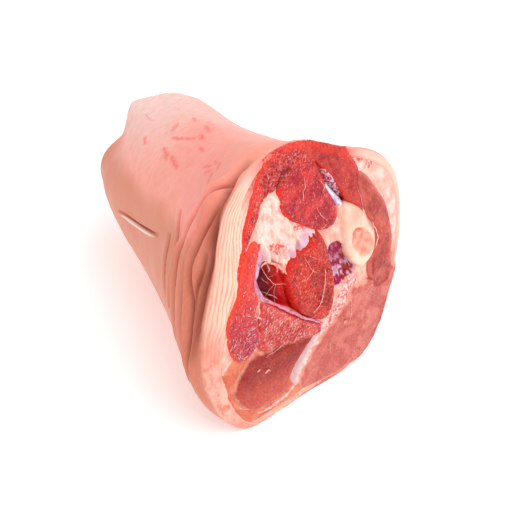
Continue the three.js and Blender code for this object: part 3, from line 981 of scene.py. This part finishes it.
def makeMeat(name, form):
    g = Graph(name + "Meat")
    inside = g.mark("inside")
    turn, length = form["grain"]
    deep, bright, fleck = (paint(*form[k]) for k in ("deep", "bright", "fleck"))
    along = g.stretched((1, 1, length), (turn, 0, 0))
    shade = g.noise(8, 5, warp=0.8)
    patch = g.between(shade, 0.36, 0.64) * (1 - form["sink"]) + g.mark("low") * form["sink"]
    colour = g.blend(patch, deep, bright)
    fine = g.noise(0.9, 4, place=along)
    colour = g.blend(g.between(fine, 0.48, 0.3) * 0.5, colour, deep)
    fibre = g.cells(1.5, place=g.stretched((1, 1, 1 + length * 0.15), (turn, 0, 0)))
    colour = g.blend(g.between(fibre, 0.12, 0.02) * form["net"], colour, fleck)
    # painted highlight: pale glints painted into the colour in the fleck colour
    glint = g.between(g.noise(0.9, 2, place=along), 0.58, 0.68) * g.between(g.noise(6, 2), 0.3, 0.55)
    colour = g.blend(glint * min(0.6, 1.5 * form["coarse"] ** 1.3), colour, fleck)
    # painted shade: dark red along the crease
    colour = g.blend(g.mark("crease") * 0.8, colour, paint(112, 14, 22))
    rim = g.between(inside + (g.noise(4, 3) - 0.5) * 3, 2.0, 0.2)
    colour = g.blend(rim * 0.8, colour, paint(*form["rim"]))
    raw = g.between(g.mark("topEdge") + (g.noise(3, 4) - 0.5) * 2.4, 0.4, 1.3) * g.mark("topEdge")
    colour = g.blend(raw * 0.7, colour, paint(240, 64, 46))
    normal = g.bump(g.between(fibre, 0.0, 0.3), 0.14)
    normal = g.bump(g.noise(0.6, 3, place=along), 0.3, normal)
    rough = g.between(g.noise(2.2, 3), 0.3, 0.7) * 0.25 + 0.2
    return g.finish({**wet, "Coat Weight": 0.14},
                    {"Base Color": colour, "Normal": normal, "Roughness": rough})


for name, ownForm in muscles.items():
    form = {**plainMuscle, **ownForm}
    settle(makeMuscle(name, form), makeMeat(name, form))

# Sawn bone: hard ring, and marrow sunk a little in it
boneEnds = {
    "shankBone": {
        "outline": [(26, 92), (30, 91.5), (34, 88), (37, 83), (39, 77), (41.2, 72), (41.4, 67), (39.4, 62),
                    (36, 59.5), (31, 58), (27, 62), (24, 68), (23, 75), (23, 83), (24, 88)],
        "marrow": [(27.5, 80), (32, 80), (35.8, 77), (38.8, 72), (39.2, 67), (36.4, 63.5), (32, 64),
                   (28, 69), (26, 74.5)],
        "rise": 2.0, "gristle": (30, 87, 5, 6, -20), "bloody": [(27, 79), (29, 80.5), (32, 79.5)],
    },
}


def makeBone(name, form, place, tuck):
    outline, marrow = (curveThrough(form[k], 6, True) for k in ("outline", "marrow"))

    def shape(spots, depth):
        flat = flatFor(spots)
        inside = np.clip((depth + 0.5) / 3, 0, 1)
        lift = (form["rise"] + 2) * np.sqrt(1 - (1 - inside) ** 2) - 2 + np.minimum(depth + 0.5, 0)
        inMarrow = smooth(-0.5, 0.8, depthInside(spots, marrow) + 0.4 * lumps(flat, 2))
        lift -= 0.7 * inMarrow
        lift += 0.12 * lumps(flat, 1.2) + 0.1 * inMarrow * lumps(flat, 0.8, 3)
        drop, allowed = tuck(spots)
        gristle, bloody = nearSpot(spots, *form["gristle"]), inMarrow * nearLine(spots, form["bloody"], 1.1)
        return lift + drop, {"marrow": inMarrow, "gristle": gristle, "bloody": bloody}, allowed

    return makeSlab(name, place, outline, 0.35, 6, shape)


def makeBoneMaterial():
    g = Graph("cutBone")
    colour = g.blend(g.between(g.noise(6, 3), 0.35, 0.65), paint(248, 194, 170), paint(254, 216, 196))
    colour = g.blend(g.mark("gristle") * 0.85, colour, paint(240, 172, 150))
    spongy = g.blend(g.between(g.noise(3.4, 5), 0.3, 0.75), paint(255, 176, 150), paint(240, 122, 102))
    spongy = g.blend(g.mark("bloody"), spongy, paint(236, 66, 48))
    colour = g.blend(g.mark("marrow"), colour, spongy)
    normal = g.bump(g.noise(0.7, 3), 0.12)
    return g.finish({**wet, "Coat Weight": 0.1, "Roughness": 0.35}, {"Base Color": colour, "Normal": normal})


boneLook = makeBoneMaterial()
for name, form in boneEnds.items():
    settle(makeBone(name, form, onWideCut, tuckWide), boneLook)

# The narrow sawn end. Outlines are (u, z) in millimetres, seen facing that end, with u to the right of its
# middle.
narrowMiddle = stations[0, 1:3]


def narrowReach(spots):
    away = np.stack([-spots[:, 0], spots[:, 1] - narrowMiddle[1]], 1)
    clock = (np.arctan2(away[:, 0], away[:, 1]) * 6 / math.pi) % hours
    roll = rollAt(body["narrowRoll"], clock)
    edge = byClock(np.tile(stations[0, 4:], (len(spots), 1)), clock) - roll - dentAt(0, clock)
    return np.linalg.norm(away, axis=1), edge, roll, clock


def onNarrowCut(spots, lift):
    away, edge, roll, clock = narrowReach(spots)
    share = np.clip(away / edge, 0, 1)
    stand = roll + (body["narrowStand"] - roll) * (1 - share**2) + cornerAt(0, clock) * share
    x = stations[0, 0] + stations[0, 3] * (spots[:, 1] - narrowMiddle[1]) - stand - lift
    return np.stack([x, narrowMiddle[0] - spots[:, 0], spots[:, 1]], 1)


def tuckNarrow(spots):
    away, edge, _, _ = narrowReach(spots)
    return -3.0 * smooth(-1.0, 1.2, away - edge), away < edge + 1.6


def ovalAt(u, z, wide, tall, turn=0, count=10):
    # an oval outline, slightly uneven
    angles = np.arange(count) * 2 * math.pi / count
    uneven = 1 + 0.08 * np.sin(3 * angles + u)
    flat = np.stack([wide * uneven * np.cos(angles), tall * uneven * np.sin(angles)], 1)
    c, s = math.cos(math.radians(turn)), math.sin(math.radians(turn))
    return (flat @ np.array([[c, s], [-s, c]]) + [u, z]).tolist()


narrowBones = {
    "footBone": {
        "outline": ovalAt(-1, 62, 11.5, 9.5, 20), "marrow": ovalAt(-1, 62, 7.5, 6, 20),
        "rise": 2.2, "gristle": (6, 66, 2.5, 3), "bloody": [(-5, 63), (-1, 65), (3, 64)],
    },
    "splintBone": {
        "outline": ovalAt(13, 51, 4.6, 4), "marrow": ovalAt(13, 51, 2, 1.7),
        "rise": 1.8, "gristle": (13, 49, 2, 2), "bloody": [(12, 51), (14, 52)],
    },
}
# tendons and small muscles around them: middle, half width and height, turn
tendonOvals = [(-14, 70, 3.2, 2.2, 40), (-5, 75, 4.2, 2.0, 8), (6, 74, 3.4, 2.0, -14),
               (-3, 33, 5.8, 3.6, 6), (8, 36, 3.4, 2.6, -20), (-14, 40, 3.2, 2.4, 35)]
shankMuscleOvals = [(-15, 54, 5.5, 8, 12), (0, 45, 7.5, 4.5, -6), (16, 62, 3.6, 6.5, -14)]


def makeLump(name, outline, rise, shoulder, coarse):
    # a rounded piece of flesh in the narrow end
    outline = curveThrough(outline, 6, True)

    def shape(spots, depth):
        flat = flatFor(spots)
        inside = np.clip((depth + 0.5) / shoulder, 0, 1)
        lift = (rise + 2) * np.sqrt(1 - (1 - inside) ** 2) - 2 + np.minimum(depth + 0.5, 0)
        lift += coarse * lumps(flat, 1.2, 2) * smooth(-0.5, 1, depth)
        drop, allowed = tuckNarrow(spots)
        return lift + drop, {"inside": np.clip(depth, -1, 20), "low": 0 * depth}, allowed

    return makeSlab(name, onNarrowCut, outline, 0.4, 4, shape)


def makeNarrowFat():
    clock = np.arange(0, hours, 0.1)
    rim = onSkin(np.zeros(len(clock)), clock)[:, 1:]
    rim = np.stack([narrowMiddle[0] - rim[:, 0], rim[:, 1]], 1)[::-1]

    def shape(spots, depth):
        flat = flatFor(spots)
        lift = -0.8 + 0.5 * layers(flat, 5, 3, 4)
        drop, allowed = tuckNarrow(spots)
        stain = nearSpot(spots, -8, 52, 5, 4) + nearSpot(spots, 8, 44, 4, 4)
        return lift + drop, {"stain": np.clip(stain, 0, 1)}, allowed

    return makeSlab("narrowFat", onNarrowCut, rim, 0.5, 6, shape)


def makeNarrowFatMaterial():
    g = Graph("narrowCutFat")
    lump = g.noise(4, 4)
    colour = g.blend(g.between(lump, 0.35, 0.65), paint(250, 200, 178), paint(255, 234, 218))
    blood = g.between(g.mark("stain") + (g.noise(2, 4) - 0.5) * 1.6, 0.4, 0.9)
    colour = g.blend(blood * 0.8, colour, paint(214, 66, 56))
    return g.finish({**wet, "Coat Weight": 0.25, "Roughness": 0.35},
                    {"Base Color": colour, "Normal": g.bump(lump, 0.5)})


def makeTendonMaterial():
    g = Graph("tendon")
    colour = g.blend(g.between(g.noise(1.2, 3), 0.4, 0.62), paint(255, 246, 236), paint(232, 206, 196))
    return g.finish({**wet, "Coat Weight": 0.4, "Roughness": 0.25},
                    {"Base Color": colour, "Normal": g.bump(g.noise(0.7, 2), 0.1)})


settle(makeNarrowFat(), makeNarrowFatMaterial())
for name, form in narrowBones.items():
    settle(makeBone(name, form, onNarrowCut, tuckNarrow), boneLook)
tendonLook = makeTendonMaterial()
for number, oval in enumerate(tendonOvals):
    settle(makeLump(f"tendon{number + 1}", ovalAt(*oval), 1.4, 2, 0.08), tendonLook)
shankMeat = makeMeat("shank", {**plainMuscle, **muscles["roundMuscle"]})
for number, oval in enumerate(shankMuscleOvals):
    settle(makeLump(f"shankMuscle{number + 1}", ovalAt(*oval), 1.0, 3, 0.2), shankMeat)


class Pipe:
    # builds a geometry nodes tree: its inputs, its nodes and the links between them
    def __init__(self, name, inputs):
        self.tree = bpy.data.node_groups.new(name, "GeometryNodeTree")
        face = self.tree.interface
        self.names = {}
        face.new_socket("Geometry", in_out="INPUT", socket_type="NodeSocketGeometry")
        for label, (kind, value) in inputs.items():
            socket = face.new_socket(label, in_out="INPUT", socket_type="NodeSocket" + kind)
            if value is not None:
                socket.default_value = value
            self.names[label] = socket.identifier
        face.new_socket("Geometry", in_out="OUTPUT", socket_type="NodeSocketGeometry")
        self.start = self.tree.nodes.new("NodeGroupInput")

    def add(self, kind, settings=None, inputs=None, output=0):
        made = self.tree.nodes.new(kind)
        for key, value in (settings or {}).items():
            setattr(made, key, value)
        for key, value in (inputs or {}).items():
            if isinstance(value, bpy.types.NodeSocket):
                self.tree.links.new(value, made.inputs[key])
            else:
                made.inputs[key].default_value = value
        return made.outputs[output]

    def given(self, label):
        return self.start.outputs[label]

    def end(self, geometry):
        shaded = self.add("GeometryNodeRealizeInstances", {}, {0: geometry})
        coated = self.add("GeometryNodeSetMaterial", {}, {0: shaded, "Material": self.given("Material")})
        self.tree.links.new(coated, self.tree.nodes.new("NodeGroupOutput").inputs[0])


def grow(pipe, source, name, values):
    # runs a tree on a source object and keeps the result as a plain piece
    modifier = source.modifiers.new("grow", "NODES")
    modifier.node_group = pipe.tree
    for label, value in values.items():
        modifier[pipe.names[label]] = value
    bpy.context.view_layer.update()
    seen = source.evaluated_get(bpy.context.evaluated_depsgraph_get())
    mesh = bpy.data.meshes.new_from_object(seen)
    source.modifiers.clear()
    bpy.data.objects.remove(source)
    mesh.name = name
    mesh.shade_smooth()
    piece = bpy.data.objects.new(name, mesh)
    bpy.context.scene.collection.objects.link(piece)
    return settle(piece, values["Material"])


def strandPipe():
    pipe = Pipe("strands", {
        "Thickness": ("Float", 0.0003), "Wander": ("Float", 0.0004), "Beading": ("Float", 0.5),
        "Seed": ("Float", 1.0), "Material": ("Material", None),
    })
    curve = pipe.add("GeometryNodeMeshToCurve", {}, {0: pipe.given("Geometry")})
    curve = pipe.add("GeometryNodeResampleCurve", {"mode": "LENGTH"}, {0: curve, "Length": 0.0004})
    here = pipe.add("GeometryNodeInputPosition")
    bend = pipe.add("ShaderNodeTexNoise", {"noise_dimensions": "4D"}, {
        "Vector": here, "W": pipe.given("Seed"), "Scale": 300.0, "Detail": 3.0}, "Color")
    bend = pipe.add("ShaderNodeVectorMath", {"operation": "SUBTRACT"}, {0: bend, 1: (0.5, 0.5, 0.5)})
    bend = pipe.add("ShaderNodeVectorMath", {"operation": "SCALE"}, {0: bend, "Scale": pipe.given("Wander")})
    curve = pipe.add("GeometryNodeSetPosition", {}, {0: curve, "Offset": bend})
    knobs = pipe.add("ShaderNodeTexNoise", {"noise_dimensions": "4D"}, {
        "Vector": here, "W": pipe.given("Seed"), "Scale": 500.0, "Detail": 2.0})
    knobs = pipe.add("ShaderNodeMath", {"operation": "MULTIPLY_ADD"},
                     {0: knobs, 1: pipe.given("Beading"), 2: 0.5})
    width = pipe.add("GeometryNodeInputNamedAttribute", {"data_type": "FLOAT"}, {"Name": "thick"})
    width = pipe.add("ShaderNodeMath", {"operation": "MULTIPLY"}, {0: width, 1: knobs})
    ring = pipe.add("GeometryNodeCurvePrimitiveCircle", {},
                    {"Resolution": 8, "Radius": pipe.given("Thickness")})
    tube = pipe.add("GeometryNodeCurveToMesh", {}, {0: curve, 1: ring, "Scale": width, "Fill Caps": True})
    pipe.end(tube)
    return pipe


def threads(name, paths):
    # a source object of listed paths: (thickness, lift in front of the cut, points)
    points, edges, thick = [], [], []
    for width, lift, path in paths:
        line = curveThrough(path, 8)
        share = np.linspace(0, 1, len(line))
        sag = np.interp(share, np.linspace(0, 1, len(lift)), lift)
        start = len(points)
        points += onWideCut(line, sag).tolist()
        thick += (width * (0.35 + 0.65 * np.sin(share * math.pi) ** 0.5)).tolist()
        edges += [(i, i + 1) for i in range(start, len(points) - 1)]
    mesh = bpy.data.meshes.new(name)
    mesh.from_pydata((np.array(points) * mm).tolist(), edges, [])
    mesh.attributes.new("thick", "FLOAT", "POINT").data.foreach_set("value", np.array(thick, np.float32))
    source = bpy.data.objects.new(name, mesh)
    bpy.context.scene.collection.objects.link(source)
    return source


strandSettings = {
    # thread-like membranes over the hollow: thickness, lift at points along it, and (y, z) points
    "hollowStrands": [
        (1.1, (1.5, 0, -1, -1.5, -1), [(-25.5, 87), (-23.5, 81), (-21, 76.5), (-18, 72.5), (-12, 70)]),
        (0.6, (-1.5, -2.5, -3), [(-18.3, 72), (-21, 70), (-24, 67)]),
        (1.5, (1, 0.5, 0, 0.5), [(-27, 71.5), (-23, 67), (-19.5, 63), (-15, 57.5)]),
        (0.8, (-2, -3, -1), [(-25, 71.5), (-22, 68.5), (-18, 65)]),
        (0.6, (-4, -4, -1), [(-16, 70), (-17.5, 66), (-19.5, 63)]),
        (0.5, (-3, -4), [(-24.5, 78), (-20, 72)]), (0.5, (-3, -5), [(-20, 76), (-14, 74)]),
    ],
    "fatVeins": [
        (1.9, (0.8, 2.7, 3.0, 2.8, 2.2),
         [(8.7, 76), (8.4, 72), (7.4, 68), (6.4, 63.5), (5, 58.7), (3, 54), (0.5, 52), (-2, 50)]),
        (0.9, (2.9, 3.1, 3.0), [(-3, 82), (-1.5, 78), (0, 74), (3, 71)]),
        (0.8, (2.9, 3.0), [(0, 81), (5, 77.5)]), (0.8, (3.0, 3.1), [(-4.5, 70), (-1, 72), (1.5, 74.5)]),
        (1.4, (3.0, 3.2, 3.0), [(4.5, 117), (4.2, 113.5), (2.4, 111.5), (1.8, 107.5)]),
        (1.0, (3.2, 3.2, 2.9), [(8.2, 102), (9, 98.5), (10.8, 95.5), (12.8, 93)]),
        (1.3, (2.4, 3.0), [(13.5, 112), (14.5, 109), (12.8, 107)]),
        (0.8, (3.0, 2.8), [(11.8, 92), (8.6, 90)]), (0.7, (3.2, 3.2), [(7.8, 109.5), (7.8, 106.5)]),
        (1.2, (1.4, 1.6, 1.6), [(22, 51), (22.3, 45.5), (22.8, 40), (22, 35.5), (20.2, 31.5)]),
        (0.7, (1.6, 1.6), [(22.3, 44.7), (18.4, 44.6)]),
        (0.9, (1.5, 1.5), [(9.4, 28.5), (8.7, 24), (8, 19.5)]),
        (0.7, (1.5, 1.5), [(24.2, 14.5), (23.7, 10), (22.4, 6.6)]),
        (1.3, (1.4, 1.6), [(32, 43), (37.5, 44.8)]),
        (4.2, (1.3, 1.6, 1.3), [(17, 33), (18, 34.2), (19, 34)]),
        (3.8, (3.0, 3.3, 3.0), [(-32, 32.5), (-30, 33.5), (-28.6, 32.6)]),
        (2.8, (2.8, 3.2, 2.8), [(-36, 35.4), (-35, 36.2), (-34, 36)]),
    ],
    "frayedEdge": [
        (4.5, (0.2, 0.7, 1.0, 1.0, 0.4),
         [(-25, 85.5), (-22, 86.6), (-18, 84.2), (-14.6, 80.4), (-12.2, 76)]),
        (3.0, (0.4, 0.2, -0.6), [(-18, 84), (-16.4, 81), (-16.6, 78.4)]),
        (2.4, (0.6, 0.2, -0.8), [(-22, 86), (-20.6, 82.8), (-21, 80.6)]),
    ],
    "purpleEdge": [
        (6.0, (-0.6, 0.4, 0.9, 1.2, 1.2, 0.6),
         [(-28, 69.5), (-23, 66), (-17.5, 61), (-12, 55.5), (-7, 50.5), (-1, 45.5), (5, 40)]),
    ],
    "seams": [
        (1.0, (0.8, 1.6, 2.2, 2.4), [(-16.6, 46.5), (-17.7, 43), (-22, 41.4), (-27, 40.8), (-30, 40.4)]),
        (1.0, (-0.2, 0.1, 0.2, 0.1),
         [(-31.5, 47.5), (-36, 45), (-40, 43), (-43, 40), (-45.5, 36), (-47.5, 31)]),
        (1.0, (0.0, 0.1, 0.1, 0.2),
         [(-49.2, 31), (-49.6, 25.6), (-47.4, 20.2), (-43.7, 15.2), (-38.8, 11.6), (-33.7, 10), (-27.7, 9.6),
          (-21.6, 10), (-16, 12)]),
        (8.0, (-0.5, -0.2, -0.1, -0.2),
         [(-10.5, 17), (-13.5, 12.5), (-18, 9), (-25, 7.6), (-33, 7.4), (-42, 10.5)]),
        (0.8, (0.6, 0.8, 0.8), [(34.2, 103), (34.6, 97), (35.6, 91), (36, 85), (36.5, 83)]),
        (1.6, (0.9, 1.4, 0.9), [(40, 78), (42.3, 72.5), (42.4, 67), (40.5, 63)]),
        (3.4, (0.4, 0.8, 0.6), [(-30.2, 68), (-29.5, 64.5), (-31, 62.5), (-29.2, 60), (-30.8, 57.5)]),
        (1.3, (0.8, 1.2, 0.6), [(-9, 103), (-10.5, 108), (-9.5, 112)]),
    ],
}


def makeMembrane():
    g = Graph("membrane")
    colour = g.blend(g.between(g.noise(1.5, 3), 0.4, 0.65), paint(250, 208, 202), paint(236, 150, 146))
    normal = g.bump(g.noise(0.5, 2), 0.05)
    return g.finish({**wet, "Coat Weight": 0.3, "Roughness": 0.35}, {"Base Color": colour, "Normal": normal})


def makeVein():
    g = Graph("vein")
    colour = g.blend(g.between(g.noise(1.5, 3), 0.4, 0.65), paint(246, 178, 166), paint(232, 134, 122))
    return g.finish({**wet, "Coat Weight": 0.1, "Roughness": 0.4}, {"Base Color": colour})


def makePurple():
    g = Graph("purpleMembrane")
    colour = g.blend(g.between(g.noise(2.5, 4), 0.38, 0.62), paint(226, 92, 104), paint(206, 150, 180))
    return g.finish({**wet, "Coat Weight": 0.4, "Roughness": 0.25},
                    {"Base Color": colour, "Normal": g.bump(g.noise(0.8, 3), 0.15)})


membrane = makeMembrane()
strandLooks = {"purpleEdge": makePurple(), "fatVeins": makeVein(), "frayedEdge": makeVein()}
strands = strandPipe()
for number, (name, paths) in enumerate(strandSettings.items()):
    grow(strands, threads(name, paths), name, {
        "Thickness": 0.00013, "Wander": 0.0016, "Beading": 1.0, "Seed": number + 1.0,
        "Material": strandLooks.get(name, membrane),
    })


# Short pale fibre ends standing out of the cut muscles: how many per square centimetre, radius in millimetres,
# how many times longer than wide, turn and how much it varies in degrees, and whether they keep low
fibreSettings = {
    "upperLeftMuscle": (20, 0.13, 3.0, -25, 60, 0), "roundMuscle": (13, 0.13, 3.5, -20, 35, 0),
    "middleMuscle": (34, 0.12, 1.6, -10, 90, 0), "topMuscle": (5, 0.11, 5.0, 32, 20, 0),
    "leftMuscle": (46, 0.16, 6.0, -8, 75, 1), "wedgeMuscle": (42, 0.15, 5.5, -45, 30, 0),
}


def scatterPipe():
    pipe = Pipe("fibreEnds", {
        "Density": ("Float", 100000.0), "Thick": ("Float", 0.0002), "Length": ("Float", 3.0),
        "Turn": ("Float", 0.0), "Spread": ("Float", 1.0), "Keep Low": ("Float", 0.0), "Seed": ("Int", 1),
        "Material": ("Material", None),
    })
    facing = pipe.add("ShaderNodeSeparateXYZ", {}, {0: pipe.add("GeometryNodeInputNormal")})
    front = pipe.add("FunctionNodeCompare", {"operation": "GREATER_THAN"}, {0: facing, 1: 0.6})
    low = pipe.add("GeometryNodeInputNamedAttribute", {"data_type": "FLOAT"}, {"Name": "low"})
    sown = pipe.add("ShaderNodeMix", {"data_type": "FLOAT"}, {0: pipe.given("Keep Low"), 2: 1.0, 3: low})
    points = pipe.add("GeometryNodeDistributePointsOnFaces", {"distribute_method": "POISSON"}, {
        0: pipe.given("Geometry"), "Selection": front, "Distance Min": 0.0007,
        "Density Max": pipe.given("Density"), "Density Factor": sown, "Seed": pipe.given("Seed"),
    })
    least = pipe.add("ShaderNodeMath", {"operation": "MULTIPLY"}, {0: pipe.given("Spread"), 1: -1.0})
    vary = pipe.add("FunctionNodeRandomValue", {"data_type": "FLOAT"},
                    {2: least, 3: pipe.given("Spread"), "Seed": 3}, 1)
    angle = pipe.add("ShaderNodeMath", {"operation": "ADD"}, {0: pipe.given("Turn"), 1: vary})
    turn = pipe.add("FunctionNodeAxisAngleToRotation", {}, {"Axis": (1.0, 0.0, 0.0), "Angle": angle})
    size = pipe.add("FunctionNodeRandomValue", {"data_type": "FLOAT"}, {2: 0.5, 3: 1.3, "Seed": 4}, 1)
    thick = pipe.add("ShaderNodeMath", {"operation": "MULTIPLY"}, {0: pipe.given("Thick"), 1: size})
    long = pipe.add("ShaderNodeMath", {"operation": "MULTIPLY"}, {0: thick, 1: pipe.given("Length")})
    scale = pipe.add("ShaderNodeCombineXYZ", {}, {0: thick, 1: thick, 2: long})
    bead = pipe.add("GeometryNodeMeshIcoSphere", {}, {"Radius": 1.0, "Subdivisions": 2})
    grown = pipe.add("GeometryNodeInstanceOnPoints", {},
                     {0: points, "Instance": bead, "Rotation": turn, "Scale": scale})
    pipe.end(grown)
    return pipe


def makeFibreMaterial(name, fleck, bright):
    g = Graph(name + "Fibre")
    blush = ((a + b) // 2 for a, b in zip(fleck, bright))
    colour = g.blend(g.between(g.noise(2, 3), 0.4, 0.6), paint(*fleck), paint(*blush))
    return g.finish({**wet, "Subsurface Weight": 0.6, "Coat Weight": 0.3, "Roughness": 0.3},
                    {"Base Color": colour})


scatter = scatterPipe()
for name, (many, thick, length, turn, spread, keepLow) in fibreSettings.items():
    source = bpy.data.objects[name].copy()
    bpy.context.scene.collection.objects.link(source)
    grow(scatter, source, name + "Fibres", {
        "Density": many * 10000.0, "Thick": thick * mm, "Length": length, "Turn": math.radians(turn),
        "Spread": math.radians(spread), "Keep Low": float(keepLow), "Seed": 7,
        "Material": makeFibreMaterial(name, muscles[name]["fleck"], muscles[name]["bright"]),
    })

stageSettings = {
    "floor": 3.0,  # half its width
    "glow": 0.22,  # the floor's own light, to keep it white
    "world": 0.74,
    "lightAim": (0, 0, 0.06),
    "lights": {"key": (7.0, 1.1, (0.45, 0.2, 1.05)), "fill": (2.0, 1.2, (0.9, -0.9, 0.5))},
    # watts, size, place
}


def makeStage():
    size = stageSettings["floor"]
    mesh = bpy.data.meshes.new("floor")
    corners = [(-size, -size, 0), (size, -size, 0), (size, size, 0), (-size, size, 0)]
    mesh.from_pydata(corners, [], [(0, 1, 2, 3)])
    floor = bpy.data.objects.new("floor", mesh)
    bpy.context.scene.collection.objects.link(floor)
    g = Graph("floorPaper")
    look = {
        "Base Color": paint(250, 250, 250), "Roughness": 0.9,
        "Emission Color": (1, 1, 1, 1), "Emission Strength": stageSettings["glow"],
    }
    mesh.materials.append(g.finish(look, {}))
    world = bpy.data.worlds.new("room")
    world.use_nodes = True
    background = world.node_tree.nodes["Background"]
    background.inputs["Color"].default_value = (1, 1, 1, 1)
    background.inputs["Strength"].default_value = stageSettings["world"]
    bpy.context.scene.world = world


def addLight(name, watts, size, place):
    light = bpy.data.lights.new(name, "AREA")
    light.energy, light.size = watts, size
    lamp = bpy.data.objects.new(name, light)
    lamp.location = place
    lamp.rotation_mode = "QUATERNION"
    lamp.rotation_quaternion = (Vector(stageSettings["lightAim"]) - Vector(place)).to_track_quat("-Z", "Y")
    bpy.context.scene.collection.objects.link(lamp)


cameraSettings = {
    "azimuth": 51.5, "elevation": 43.6, "roll": 1.7, "distance": 0.782, "lens": 112,
    "aim": (0.0147, 0.0093, 0.0371),
}


def makeCamera(azimuth, elevation, roll, distance, lens, aim):
    a, e = math.radians(azimuth), math.radians(elevation)
    back = Vector((math.sin(a) * math.cos(e), -math.cos(a) * math.cos(e), math.sin(e)))
    data = bpy.data.cameras.new("camera")
    data.lens = lens
    camera = bpy.data.objects.new("camera", data)
    camera.location = Vector(aim) + back * distance
    camera.rotation_mode = "QUATERNION"
    facing = (-back).to_track_quat("-Z", "Y")
    camera.rotation_quaternion = facing @ Quaternion((0, 0, 1), math.radians(roll))
    bpy.context.scene.collection.objects.link(camera)
    bpy.context.scene.camera = camera


makeStage()
for name, light in stageSettings["lights"].items():
    addLight(name, *light)
makeCamera(**cameraSettings)
bpy.context.scene.view_settings.view_transform = "Standard"
print("stage, light and camera are ready")
